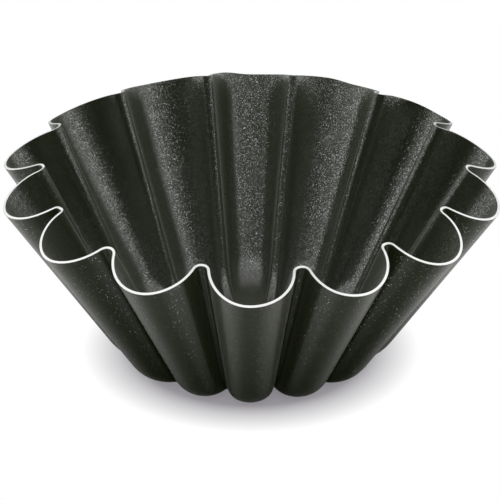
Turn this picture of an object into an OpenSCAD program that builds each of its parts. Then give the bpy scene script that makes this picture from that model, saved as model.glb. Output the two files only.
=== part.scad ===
// Fluted brioche mould: one pressed steel shell with a dark coat on each side.
// All outlines are those of the inner face, and each layer is laid outwards from it.
// Z is up, and the origin is the centre of the underside, where the mould rests.

/* [Flutes] */
// number of flutes round the wall
flutes = 14; // [10:1:18]

/* [Rim] */
// height of the rim above the ground at the folds
height = 66; // [50:0.5:80]
// inside width of the rim from flute tip to flute tip
rim_tip_d = 158.5; // [152:0.1:170]
// inside width of the rim from fold to fold
rim_fold_d = 131.7; // [120:0.1:136]
// bend radius of each fold at the rim
rim_fold_r = 2.5; // [1.6:0.1:3.5]
// how far the trimmed edge sinks from the folds to the flute tips
tip_drop = 6.6; // [0:0.1:10]
// how late that sinking sets in, 1 for an even slope
drop_curve = 1.25; // [1:0.05:2]

/* [Base] */
// width from flute tip to flute tip where wall and floor would meet in a sharp corner
base_tip_d = 80.5; // [76:0.1:96]
// width from fold to fold at the same level
base_fold_d = 62.6; // [54:0.1:68]
// bend radius of each fold at the same level
base_fold_r = 1.4; // [1.3:0.1:2.5]
// length of wall, and of floor, that the rounded lower corner takes up
corner = 10.4; // [4:0.1:14]

/* [Sheet and coats] */
// thickness of the steel sheet
sheet_t = 0.8; // [0.4:0.05:1]
// thickness of the non-stick coat inside
inner_coat_t = 0.04; // [0.02:0.01:0.08]
// thickness of the coat outside
outer_coat_t = 0.04; // [0.02:0.01:0.08]

/* [Hidden] */
// facets of the two arcs in half a flute, of the lower corner and up the wall
tip_facets = 5;
fold_facets = 3;
corner_facets = 4;
wall_facets = 3;
half_facets = tip_facets + fold_facets;
around = 2 * half_facets * flutes;
rows = corner_facets + wall_facets + 1;
// half the angle that one flute takes up
half_angle = 180 / flutes;
// the layers' depths behind the inner face
sheet_in = inner_coat_t;
sheet_out = sheet_in + sheet_t;
wall_t = sheet_out + outer_coat_t;

// centre of a fold's bend, in a flute's own axes: x across the flute, y away from the middle
function fold_centre(fold, bend) = (fold + bend) * [sin(half_angle), cos(half_angle)];

// radius of the flute's arc that meets the fold's arc without a corner
function flute_r(tip, fold, bend) =
    let (c = fold_centre(fold, bend), a = c.y - tip)
    (c.x * c.x + a * a - bend * bend) / (2 * (bend - a));

// direction in which the two arcs meet
function meet(tip, fold, bend) =
    let (c = fold_centre(fold, bend))
    atan2(c.y - tip + flute_r(tip, fold, bend), c.x);

// point number i of the half outline, from the flute's tip to the bottom of the fold
function half_point(i, tip, fold, bend) =
    let (r = flute_r(tip, fold, bend), m = meet(tip, fold, bend))
    i <= tip_facets
        ? let (a = 90 - (90 - m) * i / tip_facets)
          [r * cos(a), tip - r + r * sin(a)]
        : let (a = 180 + m + (90 - half_angle - m) * (i - tip_facets) / fold_facets)
          fold_centre(fold, bend) + bend * [cos(a), sin(a)];

// one closed outline seen from above, anticlockwise, with a flute at the front
function outline(tip, fold, bend) = [
    for (k = [0:flutes - 1], i = [-half_facets:half_facets - 1])
        let (p = half_point(abs(i), tip, fold, bend),
             x = i < 0 ? p.x : -p.x,
             a = 180 + 2 * half_angle * k)
        [x * cos(a) - p.y * sin(a), x * sin(a) + p.y * cos(a)]
];

rim_plan = outline(rim_tip_d / 2, rim_fold_d / 2, rim_fold_r);
base_plan = outline(base_tip_d / 2, base_fold_d / 2, base_fold_r);

// share of the way from the folds to the tips that a point of the rim has gone
function outness(p) =
    max(0, (norm(p) - rim_fold_d / 2) / (rim_tip_d / 2 - rim_fold_d / 2));

// the trimmed edge of the inner face
edge = [for (p = rim_plan) [p.x, p.y, height - tip_drop * pow(outness(p), drop_curve)]];
// the sharp corner that the wall and the floor would make
sharp = [for (p = base_plan) [p.x, p.y, wall_t]];
// where the rounded corner leaves the wall, and where it reaches the floor
wall_end = [for (i = [0:around - 1])
    sharp[i] + corner * (edge[i] - sharp[i]) / norm(edge[i] - sharp[i])];
floor_end = [for (i = [0:around - 1])
    let (s = 1 - corner / norm(base_plan[i]))
    [base_plan[i].x * s, base_plan[i].y * s, wall_t]];

// a point of the inner face in row j, from the edge of the floor up to the trimmed edge
function face_point(j, i) =
    j <= corner_facets
        ? let (t = j / corner_facets)
          (1 - t) * (1 - t) * floor_end[i] + 2 * t * (1 - t) * sharp[i] + t * t * wall_end[i]
        : wall_end[i] + (edge[i] - wall_end[i]) * (j - corner_facets) / wall_facets;

// the way that the face climbs at that point
function climb(j, i) =
    j <= corner_facets
        ? let (t = j / corner_facets)
          (1 - t) * (sharp[i] - floor_end[i]) + t * (wall_end[i] - sharp[i])
        : edge[i] - wall_end[i];

face = [for (j = [0:rows - 1]) [for (i = [0:around - 1]) face_point(j, i)]];
// unit vectors that point out of the mould
outward = [for (j = [0:rows - 1]) [for (i = [0:around - 1])
    let (n = cross(face[j][(i + 1) % around] - face[j][(i + around - 1) % around], climb(j, i)))
    n / norm(n)]];

// the face at a depth behind the inner face, one list of points for all rows
function layer_face(depth) = [
    for (j = [0:rows - 1], i = [0:around - 1]) face[j][i] + depth * outward[j][i]
];

// number of a point: side 0 is the layer's inner side and 1 its outer side
function at(side, j, i) = (side * rows + j) * around + i % around;

// the two triangles of one patch, mirrored in the two halves of a flute
function patch(a, b, c, d, mirrored) =
    mirrored ? [[a, b, d], [b, c, d]] : [[a, b, c], [a, c, d]];

function flipped(faces) = [for (f = faces) [f[2], f[1], f[0]]];

// one layer of the mould as a closed solid between two depths behind the inner face
module layer(depth_in, depth_out) {
    points = concat(
        layer_face(depth_in),
        layer_face(depth_out),
        [[0, 0, wall_t - depth_in], [0, 0, wall_t - depth_out]]
    );
    middle = 2 * rows * around;
    sides = [for (side = [0, 1], j = [0:rows - 2], i = [0:around - 1])
        let (f = patch(at(side, j, i), at(side, j + 1, i), at(side, j + 1, i + 1),
                       at(side, j, i + 1), i % (2 * half_facets) < half_facets))
        each (side == 1 ? f : flipped(f))];
    floors = [for (side = [0, 1], i = [0:around - 1])
        let (f = [[middle + side, at(side, 0, i), at(side, 0, i + 1)]])
        each (side == 1 ? f : flipped(f))];
    trimmed = [for (i = [0:around - 1])
        each patch(at(0, rows - 1, i), at(0, rows - 1, i + 1), at(1, rows - 1, i + 1),
                   at(1, rows - 1, i), false)];
    polyhedron(points = points, faces = concat(sides, floors, trimmed));
}

module pressed_shell() {
    color([0.82, 0.82, 0.81]) layer(sheet_in, sheet_out);
}

module inner_coat() {
    color([0.17, 0.18, 0.16]) layer(0, sheet_in);
}

module outer_coat() {
    color([0.20, 0.20, 0.19]) layer(sheet_out, wall_t);
}

pressed_shell();
inner_coat();
outer_coat();
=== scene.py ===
"""Fluted brioche mould: the dressed shell, its two coats, the studio and the camera."""

import logging
import math
from dataclasses import dataclass, field
from enum import Enum
from typing import Any, Sequence

import bmesh
import bpy
from mathutils import Matrix, Vector


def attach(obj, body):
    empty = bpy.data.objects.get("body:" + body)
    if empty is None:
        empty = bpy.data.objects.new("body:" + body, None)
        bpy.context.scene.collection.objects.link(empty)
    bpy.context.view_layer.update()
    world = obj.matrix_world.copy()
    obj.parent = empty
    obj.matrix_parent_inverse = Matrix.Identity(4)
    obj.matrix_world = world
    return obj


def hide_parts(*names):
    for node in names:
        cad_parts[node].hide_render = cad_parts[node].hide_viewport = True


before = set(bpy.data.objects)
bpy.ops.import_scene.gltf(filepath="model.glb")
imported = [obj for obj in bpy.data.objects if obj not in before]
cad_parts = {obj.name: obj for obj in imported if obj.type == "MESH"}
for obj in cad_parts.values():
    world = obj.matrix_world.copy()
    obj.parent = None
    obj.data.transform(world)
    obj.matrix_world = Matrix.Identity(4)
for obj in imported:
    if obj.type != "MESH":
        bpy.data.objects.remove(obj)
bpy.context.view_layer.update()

LOG = logging.getLogger("brioche_mould")
BODY = "root"
MM = 0.001
# how far above the flat floor a point may lie and still belong to it
LEVEL_SLACK = 1e-7
# faces that meet at less than this angle are shaded as one surface
SMOOTH_ANGLE = math.radians(42)

Point2 = tuple[float, float]
Point3 = tuple[float, float, float]
Colour = tuple[float, float, float, float]

WHITE: Colour = (1.0, 1.0, 1.0, 1.0)
# the Mix node's colour sockets, by number because their names repeat
MIX_FACTOR, MIX_LOW, MIX_HIGH, MIX_RESULT = 0, 6, 7, 2


# ---------------------------------------------------------------- shader sums


class Shade:
    """A shader value that ordinary arithmetic extends with Math nodes."""

    def __init__(self, bench: "Bench", socket: bpy.types.NodeSocket | None) -> None:
        """Wraps one output socket of a tree, or none for a node without one."""
        self.bench = bench
        self.socket = socket

    def _math(self, operation: str, *values: Any) -> "Shade":
        """Adds a Math node for one operation on the given values."""
        return self.bench.node("ShaderNodeMath", {"operation": operation}, dict(enumerate(values)))

    def __add__(self, other: Any) -> "Shade":
        """Sum of two values."""
        return self._math("ADD", self, other)

    __radd__ = __add__

    def __sub__(self, other: Any) -> "Shade":
        """Difference of two values."""
        return self._math("SUBTRACT", self, other)

    def __rsub__(self, other: Any) -> "Shade":
        """Difference with this value taken away."""
        return self._math("SUBTRACT", other, self)

    def __mul__(self, other: Any) -> "Shade":
        """Product of two values."""
        return self._math("MULTIPLY", self, other)

    __rmul__ = __mul__

    def __pow__(self, other: Any) -> "Shade":
        """This value to a power."""
        return self._math("POWER", self, other)

    def stretch(self, low: float, high: float, to_low: Any = 0.0, to_high: Any = 1.0) -> "Shade":
        """Maps a span of values onto another, held at both ends.

        Args:
            low: where the span starts.
            high: where the span ends.
            to_low: the result at and before the start.
            to_high: the result at and past the end.

        Returns:
            The mapped value.
        """
        return self.bench.node(
            "ShaderNodeMapRange", {"clamp": True},
            {"Value": self, "From Min": low, "From Max": high, "To Min": to_low, "To Max": to_high})


class Bench:
    """Builds one node tree."""

    def __init__(self, tree: bpy.types.NodeTree) -> None:
        """Clears a tree to build in."""
        self.tree = tree
        self.tree.nodes.clear()

    def node(self, kind: str, settings: dict[str, Any] | None = None,
             inputs: dict[Any, Any] | None = None, output: Any = 0) -> Shade:
        """Adds one node.

        Args:
            kind: the node's type.
            settings: the node's own settings, set first.
            inputs: a value or a link for each socket, by name or number.
            output: the socket that the result stands for.

        Returns:
            The chosen output.
        """
        made = self.tree.nodes.new(kind)
        for key, value in (settings or {}).items():
            setattr(made, key, value)
        for key, value in (inputs or {}).items():
            self._feed(made.inputs[key], value)
        return Shade(self, None if output is None else made.outputs[output])

    def _feed(self, socket: bpy.types.NodeSocket, value: Any) -> None:
        """Links a value to a socket, or sets it there.

        Args:
            socket: the input to feed.
            value: another node's output, or a plain value.
        """
        if isinstance(value, Shade):
            self.tree.links.new(value.socket, socket)
        else:
            socket.default_value = value

    def place(self) -> Shade:
        """Object coordinates, in metres."""
        return self.node("ShaderNodeTexCoord", output="Object")

    def noise(self, at: Shade, grains_per_m: float, detail: float = 2.0,
              rough: float = 0.5) -> Shade:
        """Soft noise between 0 and 1.

        Args:
            at: where the noise is read.
            grains_per_m: how many grains lie side by side in a metre.
            detail: how many finer octaves come on top.
            rough: how strong the finer octaves are.

        Returns:
            The noise.
        """
        return self.node(
            "ShaderNodeTexNoise", {"noise_dimensions": "3D"},
            {"Vector": at, "Scale": grains_per_m, "Detail": detail, "Roughness": rough})

    def vector(self, operation: str, *values: Any) -> Shade:
        """Adds a Vector Math node for one operation on the given values."""
        return self.node("ShaderNodeVectorMath", {"operation": operation},
                         dict(enumerate(values)))

    def scaled(self, vector: Shade, length: Any) -> Shade:
        """A vector made longer or shorter."""
        return self.node("ShaderNodeVectorMath", {"operation": "SCALE"},
                         {0: vector, "Scale": length})

    def split(self, vector: Shade) -> tuple[Shade, Shade, Shade]:
        """A vector's X, Y and Z."""
        parts = self.node("ShaderNodeSeparateXYZ", {}, {"Vector": vector}).socket.node.outputs
        return Shade(self, parts["X"]), Shade(self, parts["Y"]), Shade(self, parts["Z"])

    def ray(self, kind: str) -> Shade:
        """1 for rays of one kind of the Light Path node, else 0."""
        return self.node("ShaderNodeLightPath", output=kind)

    def blend(self, factor: Any, low: Any, high: Any) -> Shade:
        """Mixes two colours: the low one where the factor is 0, the high one where it is 1."""
        return self.node("ShaderNodeMix", {"data_type": "RGBA"},
                         {MIX_FACTOR: factor, MIX_LOW: low, MIX_HIGH: high}, MIX_RESULT)

    def finish(self, shader: Shade, kind: str = "ShaderNodeOutputMaterial") -> None:
        """Sends a shader to the tree's surface."""
        self.node(kind, {}, {"Surface": shader}, None)


class MaterialBench(Bench):
    """Builds one material."""

    def __init__(self, name: str) -> None:
        """Starts an empty material.

        Args:
            name: the material's name.
        """
        self.material = bpy.data.materials.new(name)
        self.material.use_nodes = True
        super().__init__(self.material.node_tree)

    def dressed(self, shader: Shade) -> bpy.types.Material:
        """Gives the material its shader and returns it."""
        self.finish(shader)
        return self.material


# ------------------------------------------------------------------- finishes


@dataclass(frozen=True)
class FlakedCoat:
    """A dark baked coat with fine metal flakes in it.

    A point's height above the underside sets two things: flakes are few below the span
    flake_start and at full strength above it, and the ground changes down a span of height
    from ground and cloud to a colour for the lower wall. That lower colour is painted light:
    by default lighter, standing in for the light that the lower inner wall lacks, and on the
    outer coat darker, a painted shade near the base. The other spans are the parts of a noise
    that are stretched out.
    """

    name: str
    ground: Colour = (0.0090, 0.0135, 0.0015, 1.0)
    cloud: Colour = (0.0110, 0.0160, 0.0030, 1.0)
    # painted light: the lower wall's ground, lighter by default to stand in for the light the lower
    # inner wall lacks
    low_wall_painted_light: Colour = (0.0240, 0.0270, 0.0160, 1.0)
    flake: Colour = (0.53, 0.555, 0.525, 1.0)
    roughness: float = 0.26
    specular: float = 0.72
    sheen: float = 0.25
    sheen_roughness: float = 0.42
    sheen_tint: Colour = (0.96, 1.0, 0.90, 1.0)
    flake_size: float = 0.16 * MM
    flake_share: float = 0.65
    flake_falloff: float = 3.2
    flake_tilt: float = 0.22
    flake_start: Point2 = (2.0 * MM, 10.0 * MM)
    floor_flakes: float = 0.05
    flake_roughness: float = 0.15
    # the span of height over which the painted light on the lower wall comes in
    painted_light_span: Point2 = (45.0 * MM, 12.0 * MM)
    cloud_size: float = 14.0 * MM
    cloud_span: Point2 = (0.3, 0.7)
    swing_span: Point2 = (0.2, 0.8)
    roughness_swing: Point2 = (-0.03, 0.03)
    grain_size: float = 0.4 * MM
    grain_span: Point2 = (0.35, 0.65)
    grain_flakes: Point2 = (0.8, 1.0)
    grain_depth: float = 0.012 * MM
    grain_strength: float = 0.3

    def material(self) -> bpy.types.Material:
        """Builds the coat's material.

        Returns:
            The finished material.
        """
        bench = MaterialBench(self.name)
        at = bench.place()
        height = bench.split(at)[2]
        cells = bench.node("ShaderNodeTexVoronoi", {"feature": "F1", "voronoi_dimensions": "3D"},
                           {"Vector": at, "Scale": 1.0 / self.flake_size, "Randomness": 1.0},
                           "Color")
        pick = bench.node("ShaderNodeSeparateColor", {}, {"Color": cells}, "Red")
        fine = bench.noise(at, 1.0 / self.grain_size, detail=2.0, rough=0.6)
        broad = bench.noise(at, 1.0 / self.cloud_size, detail=2.0, rough=0.5)
        flake = (pick.stretch(1.0 - self.flake_share, 1.0) ** self.flake_falloff
                 * fine.stretch(*self.grain_span, *self.grain_flakes)
                 * height.stretch(*self.flake_start, self.floor_flakes, 1.0))
        lean = bench.scaled(bench.vector("SUBTRACT", cells, (0.5, 0.5, 0.5)), self.flake_tilt)
        bump = bench.node("ShaderNodeBump", {}, {
            "Strength": self.grain_strength, "Distance": self.grain_depth, "Height": fine})
        normal = bench.vector("NORMALIZE", bench.vector("ADD", bump, lean))
        upper = bench.blend(broad.stretch(*self.cloud_span), self.ground, self.cloud)
        swing = broad.stretch(*self.swing_span, *self.roughness_swing)
        binder = bench.node("ShaderNodeBsdfPrincipled", {}, {
            # painted light: the lower wall blends to its own ground, which stands in for how light
            # falls there
            "Base Color": bench.blend(height.stretch(*self.painted_light_span), upper, self.low_wall_painted_light),
            "Roughness": self.roughness + swing,
            "Specular IOR Level": self.specular,
            "Sheen Weight": self.sheen,
            "Sheen Roughness": self.sheen_roughness,
            "Sheen Tint": self.sheen_tint,
            "Normal": bump,
        })
        mirror = bench.node("ShaderNodeBsdfPrincipled", {}, {
            "Base Color": self.flake, "Metallic": 1.0, "Roughness": self.flake_roughness,
            "Normal": normal,
        })
        return bench.dressed(bench.node(
            "ShaderNodeMixShader", {}, {0: flake, 1: binder, 2: mirror}))


@dataclass(frozen=True)
class CutSteel:
    """The bare edge of sheet steel as the trimming die left it.

    The spans are the parts of a noise that are stretched out.
    """

    name: str
    bright: Colour = (0.98, 0.98, 0.97, 1.0)
    dull: Colour = (0.93, 0.93, 0.92, 1.0)
    roughness: float = 0.45
    roughness_swing: Point2 = (-0.06, 0.08)
    patch_size: float = 9.0 * MM
    patch_span: Point2 = (0.35, 0.65)
    shear_size: float = 0.35 * MM
    shear_span: Point2 = (0.3, 0.7)
    shear_depth: float = 0.02 * MM
    shear_strength: float = 0.25

    def material(self) -> bpy.types.Material:
        """Builds the cut edge's material.

        Returns:
            The finished material.
        """
        bench = MaterialBench(self.name)
        at = bench.place()
        shear = bench.noise(at, 1.0 / self.shear_size, detail=2.0, rough=0.6)
        patches = bench.noise(at, 1.0 / self.patch_size, detail=1.0, rough=0.5)
        shader = bench.node("ShaderNodeBsdfPrincipled", {}, {
            "Base Color": bench.blend(patches.stretch(*self.patch_span), self.bright, self.dull),
            "Metallic": 1.0,
            "Roughness": self.roughness + shear.stretch(*self.shear_span, *self.roughness_swing),
            "Normal": bench.node("ShaderNodeBump", {}, {
                "Strength": self.shear_strength, "Distance": self.shear_depth, "Height": shear}),
        })
        return bench.dressed(shader)


# ------------------------------------------------------------- shapes


def clear_selection() -> None:
    """Leaves edit mode and selects nothing."""
    if bpy.context.object and bpy.context.object.mode != "OBJECT":
        bpy.ops.object.mode_set(mode="OBJECT")
    bpy.ops.object.select_all(action="DESELECT")


def make_active(piece: bpy.types.Object) -> None:
    """Selects one object alone and makes it the active one.

    Args:
        piece: the object.
    """
    clear_selection()
    piece.select_set(True)
    bpy.context.view_layer.objects.active = piece


class Layer(Enum):
    """The sheet and the two coats, from the inside of the mould outwards."""

    INNER_COAT = "inner_coat"
    PRESSED_SHELL = "pressed_shell"
    OUTER_COAT = "outer_coat"


@dataclass
class FluteOutline:
    """One level's outline: a flute's arc that runs into the fold's arc without a corner."""

    tip: float
    fold: float
    bend: float
    half_angle: float

    def half(self, tip_cuts: int, fold_cuts: int) -> list[Point2]:
        """Points from the middle of a flute to the bottom of its fold.

        Args:
            tip_cuts: parts of the flute's arc.
            fold_cuts: parts of the fold's arc.

        Returns:
            Points across and away from the mould's middle.
        """
        side = Vector((math.sin(self.half_angle), math.cos(self.half_angle)))
        centre = side * (self.fold + self.bend)
        back = centre.y - self.tip
        arc = (centre.x ** 2 + back ** 2 - self.bend ** 2) / (2 * (self.bend - back))
        meet = math.atan2(back + arc, centre.x)
        points = []
        for i in range(tip_cuts + 1):
            turn = math.pi / 2 - (math.pi / 2 - meet) * i / tip_cuts
            points.append((arc * math.cos(turn), self.tip - arc + arc * math.sin(turn)))
        for i in range(1, fold_cuts + 1):
            turn = math.pi + meet + (math.pi / 2 - self.half_angle - meet) * i / fold_cuts
            points.append((centre.x + self.bend * math.cos(turn),
                           centre.y + self.bend * math.sin(turn)))
        return points


@dataclass(frozen=True)
class PressMarks:
    """What the press left uneven in this mould, in mm, anticlockwise from the front flute.

    Folds come after their flute, so that a list of 28 has flute, fold, flute and so on, and
    a list of 56 has the middle of each flank between them as well. The lists whose names
    start with foot are for the ring at the ground, the others for the rim.
    """

    tips: tuple[float, ...] = (
        0.5, 0.0, 0.2, 0.3, 0.1, 0.5, -0.3, -0.4, -0.1, 0.0, 0.7, 0.1, 0.0, 0.0)
    folds: tuple[float, ...] = (
        0.2, -0.2, -0.3, 2.1, 0.0, 0.0, 3.5, 1.7, 2.3, 2.2, -0.3, -0.7, 3.0, 1.0)
    bends: tuple[float, ...] = (
        0.5, 0.2, 0.0, 0.8, 0.6, 0.2, -0.5, -0.5, 0.0, 1.4, 0.5, 0.1, 1.1, 0.4)
    along: tuple[float, ...] = (
        -0.2, 0.5, 0.2, 0.2, -0.1, -0.2, -1.7, 0.7, -0.4, 0.8, 0.3, -0.1, -0.2, 1.9,
        0.2, -0.8, 0.0, -0.3, 0.2, 0.7, 0.5, 0.4, 1.1, 0.3, -0.3, -0.1, -0.5, 0.2)
    up: tuple[float, ...] = (
        0.5, -1.0, 0.0, -0.1, -0.1, 0.2, 0.3, 0.1, -0.1, -0.2, -0.5, 0.1, 0.0, -0.2,
        -0.1, -0.1, 0.0, 0.0, 0.0, 0.0, 0.1, -0.1, 0.1, -0.2, -0.1, 0.6, 0.1, 0.4)
    out: tuple[float, ...] = (
        0.0, -0.2, 0.0, 0.1, 0.2, -0.1, 0.0, -0.1, 0.1, 0.1, 0.1, -0.5, -0.2, 0.2,
        0.0, 0.1, 0.0, -0.2, 0.0, -0.1, -0.1, 0.4, -0.2, -0.7, -0.4, 1.1, -0.3, -0.3,
        -0.3, 1.0, -0.5, -0.2, -0.1, 0.1, 0.0, 0.0, -0.1, 0.2, 0.0, 0.0, 0.0, 0.1,
        -0.2, -0.1, -0.2, -0.6, 0.2, 0.1, 0.3, -0.1, -0.1, 0.1, -0.1, -0.2, 0.2, 0.0)
    foot_tips: tuple[float, ...] = (
        0.0, -0.3, -0.6, 0.0, 0.0, 0.0, 0.0, 0.0, 0.0, 0.0, 0.0, 0.0, 0.0, -0.8)
    foot_folds: tuple[float, ...] = (
        0.2, 2.0, 0.3, -0.4, 0.6, 2.0, 0.0, 1.1, 4.0, 5.2, 4.6, 2.6, 0.6, 1.6)
    foot_along: tuple[float, ...] = (
        -0.4, 0.0, -0.2, 0.0, -1.3, -0.3, 0.0, 0.0, 0.0, 0.0, 0.0, -0.4, 0.0, 0.1,
        0.0, 0.9, 0.6, 1.2, 0.5, 0.8, 0.3, 0.3, 0.0, 0.0, 0.0, 0.0, 0.3, 0.0)

    @staticmethod
    def between(marks: Sequence[float], turn: float) -> float:
        """Eases from one mark to the next.

        Args:
            marks: the marks, evenly spaced round the rim.
            turn: share of the way round, from 0 to 1.

        Returns:
            The mark's value there.
        """
        place = turn % 1.0 * len(marks)
        first = int(place) % len(marks)
        ease = (1 - math.cos(math.pi * (place - int(place)))) / 2
        return marks[first] * (1 - ease) + marks[(first + 1) % len(marks)] * ease


@dataclass
class MouldForm:
    """The inner face of the mould, with the press marks of this one."""

    flutes: int = 14
    height: float = 66.0 * MM
    rim_tip: float = 79.25 * MM
    rim_fold: float = 65.85 * MM
    rim_bend: float = 2.5 * MM
    tip_drop: float = 6.6 * MM
    drop_curve: float = 1.25
    base_tip: float = 40.25 * MM
    base_fold: float = 31.3 * MM
    base_bend: float = 1.8 * MM
    corner: float = 10.4 * MM
    wall_t: float = 0.88 * MM
    tip_cuts: int = 16
    fold_cuts: int = 8
    corner_rows: int = 12
    wall_rows: int = 22
    floor_rows: int = 8
    marks: PressMarks = field(default_factory=PressMarks)

    @property
    def around(self) -> int:
        """Stations round one ring."""
        return 2 * self.flutes * (self.tip_cuts + self.fold_cuts)

    def ring(self, tips: Sequence[float], folds: Sequence[float],
             bends: Sequence[float]) -> list[Vector]:
        """One closed ring, anticlockwise from above, from the fold before the front flute on.

        Args:
            tips: how far out each flute's tip lies.
            folds: how far out the fold after each flute lies.
            bends: each fold's bend radius.

        Returns:
            One point for each station.
        """
        half_angle = math.pi / self.flutes
        cuts = (self.tip_cuts, self.fold_cuts)
        points = []
        for k in range(self.flutes):
            after = FluteOutline(tips[k], folds[k], bends[k], half_angle).half(*cuts)
            before = FluteOutline(tips[k], folds[k - 1], bends[k - 1], half_angle).half(*cuts)
            turn = 2 * half_angle * k
            for across, out in [(-x, y) for x, y in reversed(before)] + after[1:-1]:
                points.append(Vector((across * math.cos(turn) + out * math.sin(turn),
                                      across * math.sin(turn) - out * math.cos(turn), 0.0)))
        return points

    def rim(self) -> list[Vector]:
        """The trimmed edge of the inner face, with its press marks.

        Returns:
            One point for each station.
        """
        marks = self.marks
        even = self.ring([self.rim_tip] * self.flutes, [self.rim_fold] * self.flutes,
                         [self.rim_bend] * self.flutes)
        rim = self.ring([self.rim_tip + m * MM for m in marks.tips],
                        [self.rim_fold + m * MM for m in marks.folds],
                        [self.rim_bend + m * MM for m in marks.bends])
        points = []
        for true, point in zip(even, rim):
            turn = math.atan2(true.x, -true.y) / (2 * math.pi)
            gone = max(0.0, (point.length - self.rim_fold) / (self.rim_tip - self.rim_fold))
            reach = point.length + marks.between(marks.out, turn) * MM
            angle = math.atan2(point.x, -point.y) + marks.between(marks.along, turn) * MM / reach
            level = (self.height - self.tip_drop * gone ** self.drop_curve
                     + marks.between(marks.up, turn) * MM)
            points.append(Vector((reach * math.sin(angle), -reach * math.cos(angle), level)))
        return points

    def foot(self) -> list[Vector]:
        """The ring where wall and floor would meet in a sharp corner, with its press marks.

        Returns:
            One point for each station, on the level of the ground.
        """
        marks = self.marks
        points = []
        for point in self.ring([self.base_tip + m * MM for m in marks.foot_tips],
                               [self.base_fold + m * MM for m in marks.foot_folds],
                               [self.base_bend] * self.flutes):
            angle = math.atan2(point.x, -point.y)
            angle += marks.between(marks.foot_along, angle / (2 * math.pi)) * MM / point.length
            points.append(point.length * Vector((math.sin(angle), -math.cos(angle), 0.0)))
        return points

    def rows(self) -> list[list[Vector]]:
        """The inner face's rings, from the edge of the flat floor up to the trimmed edge.

        On the flat floor the stations are spread evenly, so that no spoke crosses another.

        Returns:
            The rings, each with one point for each station.
        """
        rows: list[list[Vector]] = [[] for _ in range(self.corner_rows + self.wall_rows + 1)]
        for station, (edge, foot) in enumerate(zip(self.rim(), self.foot())):
            reach = foot.length - self.corner
            angle = (2 * station / self.around - 1 / self.flutes) * math.pi
            floor_end = Vector((reach * math.sin(angle), -reach * math.cos(angle), self.wall_t))
            foot.z = self.wall_t
            wall_end = foot + (edge - foot).normalized() * self.corner
            for j in range(self.corner_rows + 1):
                t = j / self.corner_rows
                rows[j].append((1 - t) ** 2 * floor_end + 2 * t * (1 - t) * foot
                               + t ** 2 * wall_end)
            for j in range(1, self.wall_rows + 1):
                rows[self.corner_rows + j].append(wall_end.lerp(edge, j / self.wall_rows))
        return rows


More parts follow.
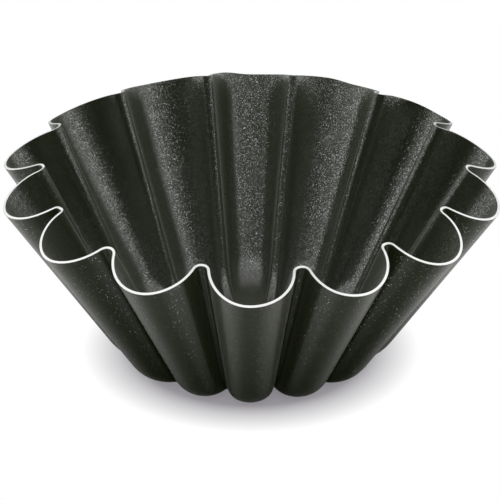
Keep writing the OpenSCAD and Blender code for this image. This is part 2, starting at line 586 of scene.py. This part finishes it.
@dataclass
class BriocheMould:
    """The whole mould: one inner face, drawn out to the sheet and its two coats."""

    form: MouldForm = field(default_factory=MouldForm)
    coat_t: float = 0.04 * MM
    sheet_t: float = 0.80 * MM

    def face(self, name: str) -> bpy.types.Object:
        """Draws the inner face as one sheet: a ring of edges is extruded row by row.

        Args:
            name: the new object's name.

        Returns:
            The sheet, with its normals pointing out of the mould.
        """
        rows = self.form.rows()
        clear_selection()
        bpy.ops.mesh.primitive_circle_add(
            vertices=self.form.around, radius=self.form.base_fold, fill_type="NOTHING",
            location=(0, 0, self.form.wall_t))
        piece = bpy.context.object
        piece.name = piece.data.name = name
        make_active(piece)
        bpy.ops.object.transform_apply(location=True, rotation=True, scale=True)
        bpy.ops.object.mode_set(mode="EDIT")
        bpy.ops.mesh.select_mode(type="VERT")
        bpy.ops.mesh.select_all(action="SELECT")
        mesh = bmesh.from_edit_mesh(piece.data)
        station = mesh.verts.layers.int.new("station")
        for index, vert in enumerate(self._in_order(mesh)):
            vert[station] = index
        self._seat(piece, rows[0])
        for row in rows[1:]:
            bpy.ops.mesh.extrude_edges_move()
            self._seat(piece, row)
        self._floor(piece, rows[0])
        bpy.ops.mesh.select_all(action="SELECT")
        bpy.ops.mesh.normals_make_consistent(inside=False)
        self._arrange(piece)
        bpy.ops.object.mode_set(mode="OBJECT")
        self._face_out(piece)
        return piece

    @staticmethod
    def _in_order(mesh: bmesh.types.BMesh) -> list[bmesh.types.BMVert]:
        """The first ring's points in order, anticlockwise from above."""
        return sorted(mesh.verts,
                      key=lambda vert: math.atan2(vert.co.x, -vert.co.y) % (2 * math.pi))

    def _seat(self, piece: bpy.types.Object, row: Sequence[Vector]) -> None:
        """Moves the selected ring's points to one row of the face.

        Args:
            piece: the sheet, in edit mode.
            row: the row's points, one for each station.
        """
        mesh = bmesh.from_edit_mesh(piece.data)
        station = mesh.verts.layers.int["station"]
        for vert in mesh.verts:
            if vert.select:
                vert.co = row[vert[station]]
        bmesh.update_edit_mesh(piece.data)

    def _floor(self, piece: bpy.types.Object, edge: Sequence[Vector]) -> None:
        """Closes the floor: the first ring is drawn in to the middle and merged there.

        Args:
            piece: the sheet, in edit mode.
            edge: the first ring's points.
        """
        mesh = bmesh.from_edit_mesh(piece.data)
        level = self.form.wall_t
        for vert in mesh.verts:
            vert.select = False
        mesh.select_flush(False)
        for vert in mesh.verts:
            if vert.co.z < level + LEVEL_SLACK and any(e.is_boundary for e in vert.link_edges):
                vert.select = True
        mesh.select_flush(True)
        bmesh.update_edit_mesh(piece.data)
        for step in range(1, self.form.floor_rows + 1):
            bpy.ops.mesh.extrude_edges_move()
            if step < self.form.floor_rows:
                reach = 1 - step / self.form.floor_rows
                self._seat(piece, [Vector((p.x * reach, p.y * reach, level)) for p in edge])
        bpy.ops.mesh.merge(type="CENTER")

    @staticmethod
    def _arrange(piece: bpy.types.Object) -> None:
        """Puts edges and faces in the order of their points, so that each run is the same.

        Args:
            piece: the sheet, in edit mode.
        """
        mesh = bmesh.from_edit_mesh(piece.data)
        mesh.verts.index_update()
        base = len(mesh.verts) + 1

        def rank(part: bmesh.types.BMEdge | bmesh.types.BMFace) -> int:
            """One number for an edge or a face, from the numbers of its points."""
            own = [vert.index for vert in part.verts]
            return (sum(own) * base + max(own)) * base + min(own)

        mesh.edges.sort(key=rank)
        mesh.faces.sort(key=rank)
        bmesh.update_edit_mesh(piece.data)

    @staticmethod
    def _face_out(piece: bpy.types.Object) -> None:
        """Turns the sheet's faces so that they look out of the mould.

        Args:
            piece: the sheet.
        """
        middle = min(piece.data.polygons, key=lambda face: face.center.xy.length)
        if middle.normal.z > 0:
            piece.data.flip_normals()

    def layer(self, layer: Layer) -> bpy.types.Object:
        """Makes one layer from the inner face.

        Args:
            layer: which of the three.

        Returns:
            The closed piece.
        """
        near, thick = {
            Layer.INNER_COAT: (0.0, self.coat_t),
            Layer.PRESSED_SHELL: (self.coat_t, self.sheet_t),
            Layer.OUTER_COAT: (self.coat_t + self.sheet_t, self.coat_t),
        }[layer]
        piece = self.face(f"mould_{layer.value}")
        make_active(piece)
        wall = piece.modifiers.new("wall", "SOLIDIFY")
        wall.thickness = thick
        # 1 starts the wall at the face, and each 2 more moves it out by its thickness
        wall.offset = 1.0 + 2.0 * near / thick
        wall.use_even_offset = False
        bpy.ops.object.modifier_apply(modifier=wall.name)
        bpy.ops.object.shade_smooth_by_angle(angle=SMOOTH_ANGLE)
        return piece

    def build(self) -> list[bpy.types.Object]:
        """Builds and dresses the three layers.

        Returns:
            The three pieces.
        """
        # painted shade: the outer coat's lower wall is given a darker ground near the base
        satin = FlakedCoat(
            "satin_outer_coat", ground=(0.0115, 0.0155, 0.0040, 1.0),
            cloud=(0.0130, 0.0170, 0.0055, 1.0), low_wall_painted_light=(0.0080, 0.0115, 0.0020, 1.0),
            roughness=0.22, specular=0.21, sheen=0.16, sheen_roughness=0.30,
            flake_size=0.25 * MM, flake_share=0.05)
        finishes = {
            Layer.INNER_COAT: (FlakedCoat("flaked_inner_coat"), "inner_nonstick"),
            Layer.PRESSED_SHELL: (CutSteel("cut_steel_edge"), "bare_steel"),
            Layer.OUTER_COAT: (satin, "outer_satin"),
        }
        pieces = []
        for layer, (finish, slot) in finishes.items():
            piece = self.layer(layer)
            piece.data.materials.clear()
            piece.data.materials.append(finish.material())
            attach(piece, BODY)
            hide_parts(layer.value)
            pieces.append(piece)
        return pieces


# --------------------------------------------------------------------- studio


@dataclass(frozen=True)
class PaleFloor:
    """A plain pale floor that fades to pure white away from the mould.

    The camera sees a darker copy of the paint, a painted shade, with a painted glow of its
    own, so that the traced shadow round the mould has the photograph's depth, and pure white
    past the span where that painted shadow fades. Mirrored rays meet a black patch under the
    mould, a painted shadow, and pass through to the surroundings beyond it.
    """

    name: str = "pale_floor"
    paint: Colour = (0.88, 0.88, 0.89, 1.0)
    # painted shade: the camera sees this darker paint round the mould, deepening the traced shadow
    shown_shadow_paint: Colour = (0.42, 0.40, 0.43, 1.0)
    # painted light: the floor's own glow, in this tint and strength, lifts and tints the shadow for
    # the camera
    tint: Colour = (0.97, 0.94, 1.0, 1.0)
    shadow_glow: float = 0.22
    # the span over which the painted shadow fades to pure white
    painted_shadow_fade: Point2 = (37.5 * MM, 54.0 * MM)
    # painted shadow in mirrors: black under the mould, clear by the end of this span
    mirrored_shadow_fade: Point2 = (36.0 * MM, 80.0 * MM)

    def material(self) -> bpy.types.Material:
        """Builds the floor's material.

        Returns:
            The finished material.
        """
        bench = MaterialBench(self.name)
        reach = bench.node("ShaderNodeVectorMath", {"operation": "LENGTH"},
                           {0: bench.place()}, "Value")
        seen = bench.ray("Is Camera Ray")
        paint = bench.node("ShaderNodeBsdfDiffuse", {}, {
            "Color": bench.blend(seen, self.paint, self.shown_shadow_paint)})
        glow = bench.node("ShaderNodeEmission", {}, {
            "Color": self.tint, "Strength": seen * self.shadow_glow})
        painted_shadow_floor = bench.node("ShaderNodeAddShader", {}, {0: paint, 1: glow})
        pure = bench.node("ShaderNodeEmission", {}, {"Strength": 1.0})
        shown = bench.node("ShaderNodeMixShader", {}, {
            0: seen * reach.stretch(*self.painted_shadow_fade), 1: painted_shadow_floor, 2: pure})
        # painted shadow: mirrored rays see black on the floor under the mould in place of its
        # shadow
        dark = bench.node("ShaderNodeEmission", {}, {"Strength": 0.0})
        clear = bench.node("ShaderNodeBsdfTransparent")
        below = bench.node("ShaderNodeMixShader", {}, {
            0: reach.stretch(*self.mirrored_shadow_fade), 1: dark, 2: clear})
        return bench.dressed(bench.node(
            "ShaderNodeMixShader", {}, {0: bench.ray("Is Glossy Ray"), 1: shown, 2: below}))


@dataclass
class Studio:
    """Floor, lamp and surroundings.

    The surroundings grow from low_level at the horizon to high_level above. Mirrored rays
    also meet a round dark patch about patch_way and a weaker dark strip behind the zenith.
    Below the horizon low_level is multiplied by under_level straight down and by side_level
    at the sides, which only mirrored rays reach. side_span and strip_sides are spans of the
    squared sideways part of a direction.
    """

    floor_half: float = 6.0
    low_level: float = 0.62
    high_level: float = 1.12
    high_from: float = 0.5
    horizon: Point2 = (-0.05, 0.0)
    under_level: float = 0.68
    side_level: float = 2.1
    side_span: Point2 = (0.02, 0.17)
    front_level: float = 0.03
    patch_way: Point3 = (-0.055, -0.780, -0.623)
    patch_edge: Point2 = (-0.02, 0.26)
    strip_start: Point2 = (0.06, 0.36)
    strip_depth: float = 0.72
    strip_sides: Point2 = (0.16, 0.06)
    box_place: Point3 = (0.0, -1.6, 2.05)
    box_aim: Point3 = (0.0, 0.0, 0.03)
    box_size: Point2 = (2.2, 0.9)
    box_power: float = 2.4

    def floor(self) -> bpy.types.Object:
        """Lays the plain pale floor.

        Returns:
            The floor.
        """
        clear_selection()
        bpy.ops.mesh.primitive_plane_add(size=2 * self.floor_half, location=(0, 0, 0))
        floor = bpy.context.object
        floor.name = "studio_floor"
        floor.data.materials.append(PaleFloor().material())
        return floor

    def lamp(self, name: str) -> bpy.types.Object:
        """Hangs the soft box.

        Args:
            name: the lamp's name.

        Returns:
            The lamp.
        """
        data = bpy.data.lights.new(name, "AREA")
        data.shape = "RECTANGLE"
        data.size, data.size_y = self.box_size
        data.energy = self.box_power
        lamp = bpy.data.objects.new(name, data)
        bpy.context.scene.collection.objects.link(lamp)
        way = (Vector(self.box_aim) - Vector(self.box_place)).to_track_quat("-Z", "Y")
        lamp.matrix_world = Matrix.Translation(self.box_place) @ way.to_matrix().to_4x4()
        return lamp

    def world(self) -> None:
        """Sets the pale surroundings, which are plain white to the camera."""
        world = bpy.data.worlds.new("studio_world")
        bpy.context.scene.world = world
        world.use_nodes = True
        bench = Bench(world.node_tree)
        way = bench.node("ShaderNodeTexCoord", output="Generated")
        across, back, up = bench.split(way)
        sideways = across * across
        low = bench.node("ShaderNodeVectorMath", {"operation": "DOT_PRODUCT"},
                         {0: way, 1: self.patch_way}, "Value")
        strip = (back.stretch(*self.strip_start, 0.0, self.strip_depth)
                 * sideways.stretch(*self.strip_sides))
        dim = (bench.ray("Is Glossy Ray") * up.stretch(*self.horizon)
               * (low.stretch(*self.patch_edge) + strip))
        beside = sideways.stretch(*self.side_span, self.under_level, self.side_level)
        soft = bench.node("ShaderNodeBackground", {}, {
            "Color": bench.blend(dim, WHITE, (self.front_level,) * 3 + (1.0,)),
            "Strength": up.stretch(0.0, self.high_from, self.low_level, self.high_level)
            * up.stretch(*self.horizon, beside, 1.0)})
        white = bench.node("ShaderNodeBackground", {}, {"Color": WHITE, "Strength": 1.0})
        bench.finish(bench.node("ShaderNodeMixShader", {},
                                {0: bench.ray("Is Camera Ray"), 1: soft, 2: white}),
                     "ShaderNodeOutputWorld")

    def build(self) -> list[bpy.types.Object]:
        """Sets the surroundings, lays the floor and hangs the lamp.

        Returns:
            The floor and the lamp.
        """
        self.world()
        return [self.floor(), self.lamp("front_box")]


@dataclass
class PhotoCamera:
    """The camera of the photograph, worked out from the rim, the folds and the base."""

    frame_px: float = 500.0
    focal_px: float = 5004.9
    sensor_mm: float = 36.0
    distance: float = 1585.668 * MM
    elevation: float = math.radians(27.34)
    roll: float = 0.0018
    rim_height: float = 66.0 * MM
    rim_at: Point2 = (251.1, 165.9)
    clip: Point2 = (0.05, 40.0)

    def build(self) -> list[bpy.types.Object]:
        """Sets the camera up.

        Returns:
            The camera, by itself.
        """
        data = bpy.data.cameras.new("photo_camera")
        data.sensor_width = self.sensor_mm
        data.lens = self.sensor_mm * self.focal_px / self.frame_px
        data.clip_start, data.clip_end = self.clip
        camera = bpy.data.objects.new("photo_camera", data)
        bpy.context.scene.collection.objects.link(camera)
        rim = Vector((0, 0, self.rim_height))
        back = Vector((0, -math.cos(self.elevation), math.sin(self.elevation)))
        pitch = math.atan((self.frame_px / 2 - self.rim_at[1]) / self.focal_px)
        yaw = math.atan((self.rim_at[0] - self.frame_px / 2) / self.focal_px)
        turn = (Matrix.Rotation(yaw, 4, "Z")
                @ Matrix.Rotation(math.pi / 2 - self.elevation - pitch, 4, "X")
                @ Matrix.Rotation(self.roll, 4, "Z"))
        camera.matrix_world = Matrix.Translation(rim + self.distance * back) @ turn
        bpy.context.scene.camera = camera
        return [camera]


def main() -> None:
    """Builds the mould, the studio and the camera."""
    logging.basicConfig(level=logging.INFO, format="%(name)s: %(message)s")
    for maker in (BriocheMould(), Studio(), PhotoCamera()):
        for piece in maker.build():
            LOG.info("built %s", piece.name)
    bpy.context.scene.view_settings.view_transform = "Standard"


if __name__ == "__main__":
    main()
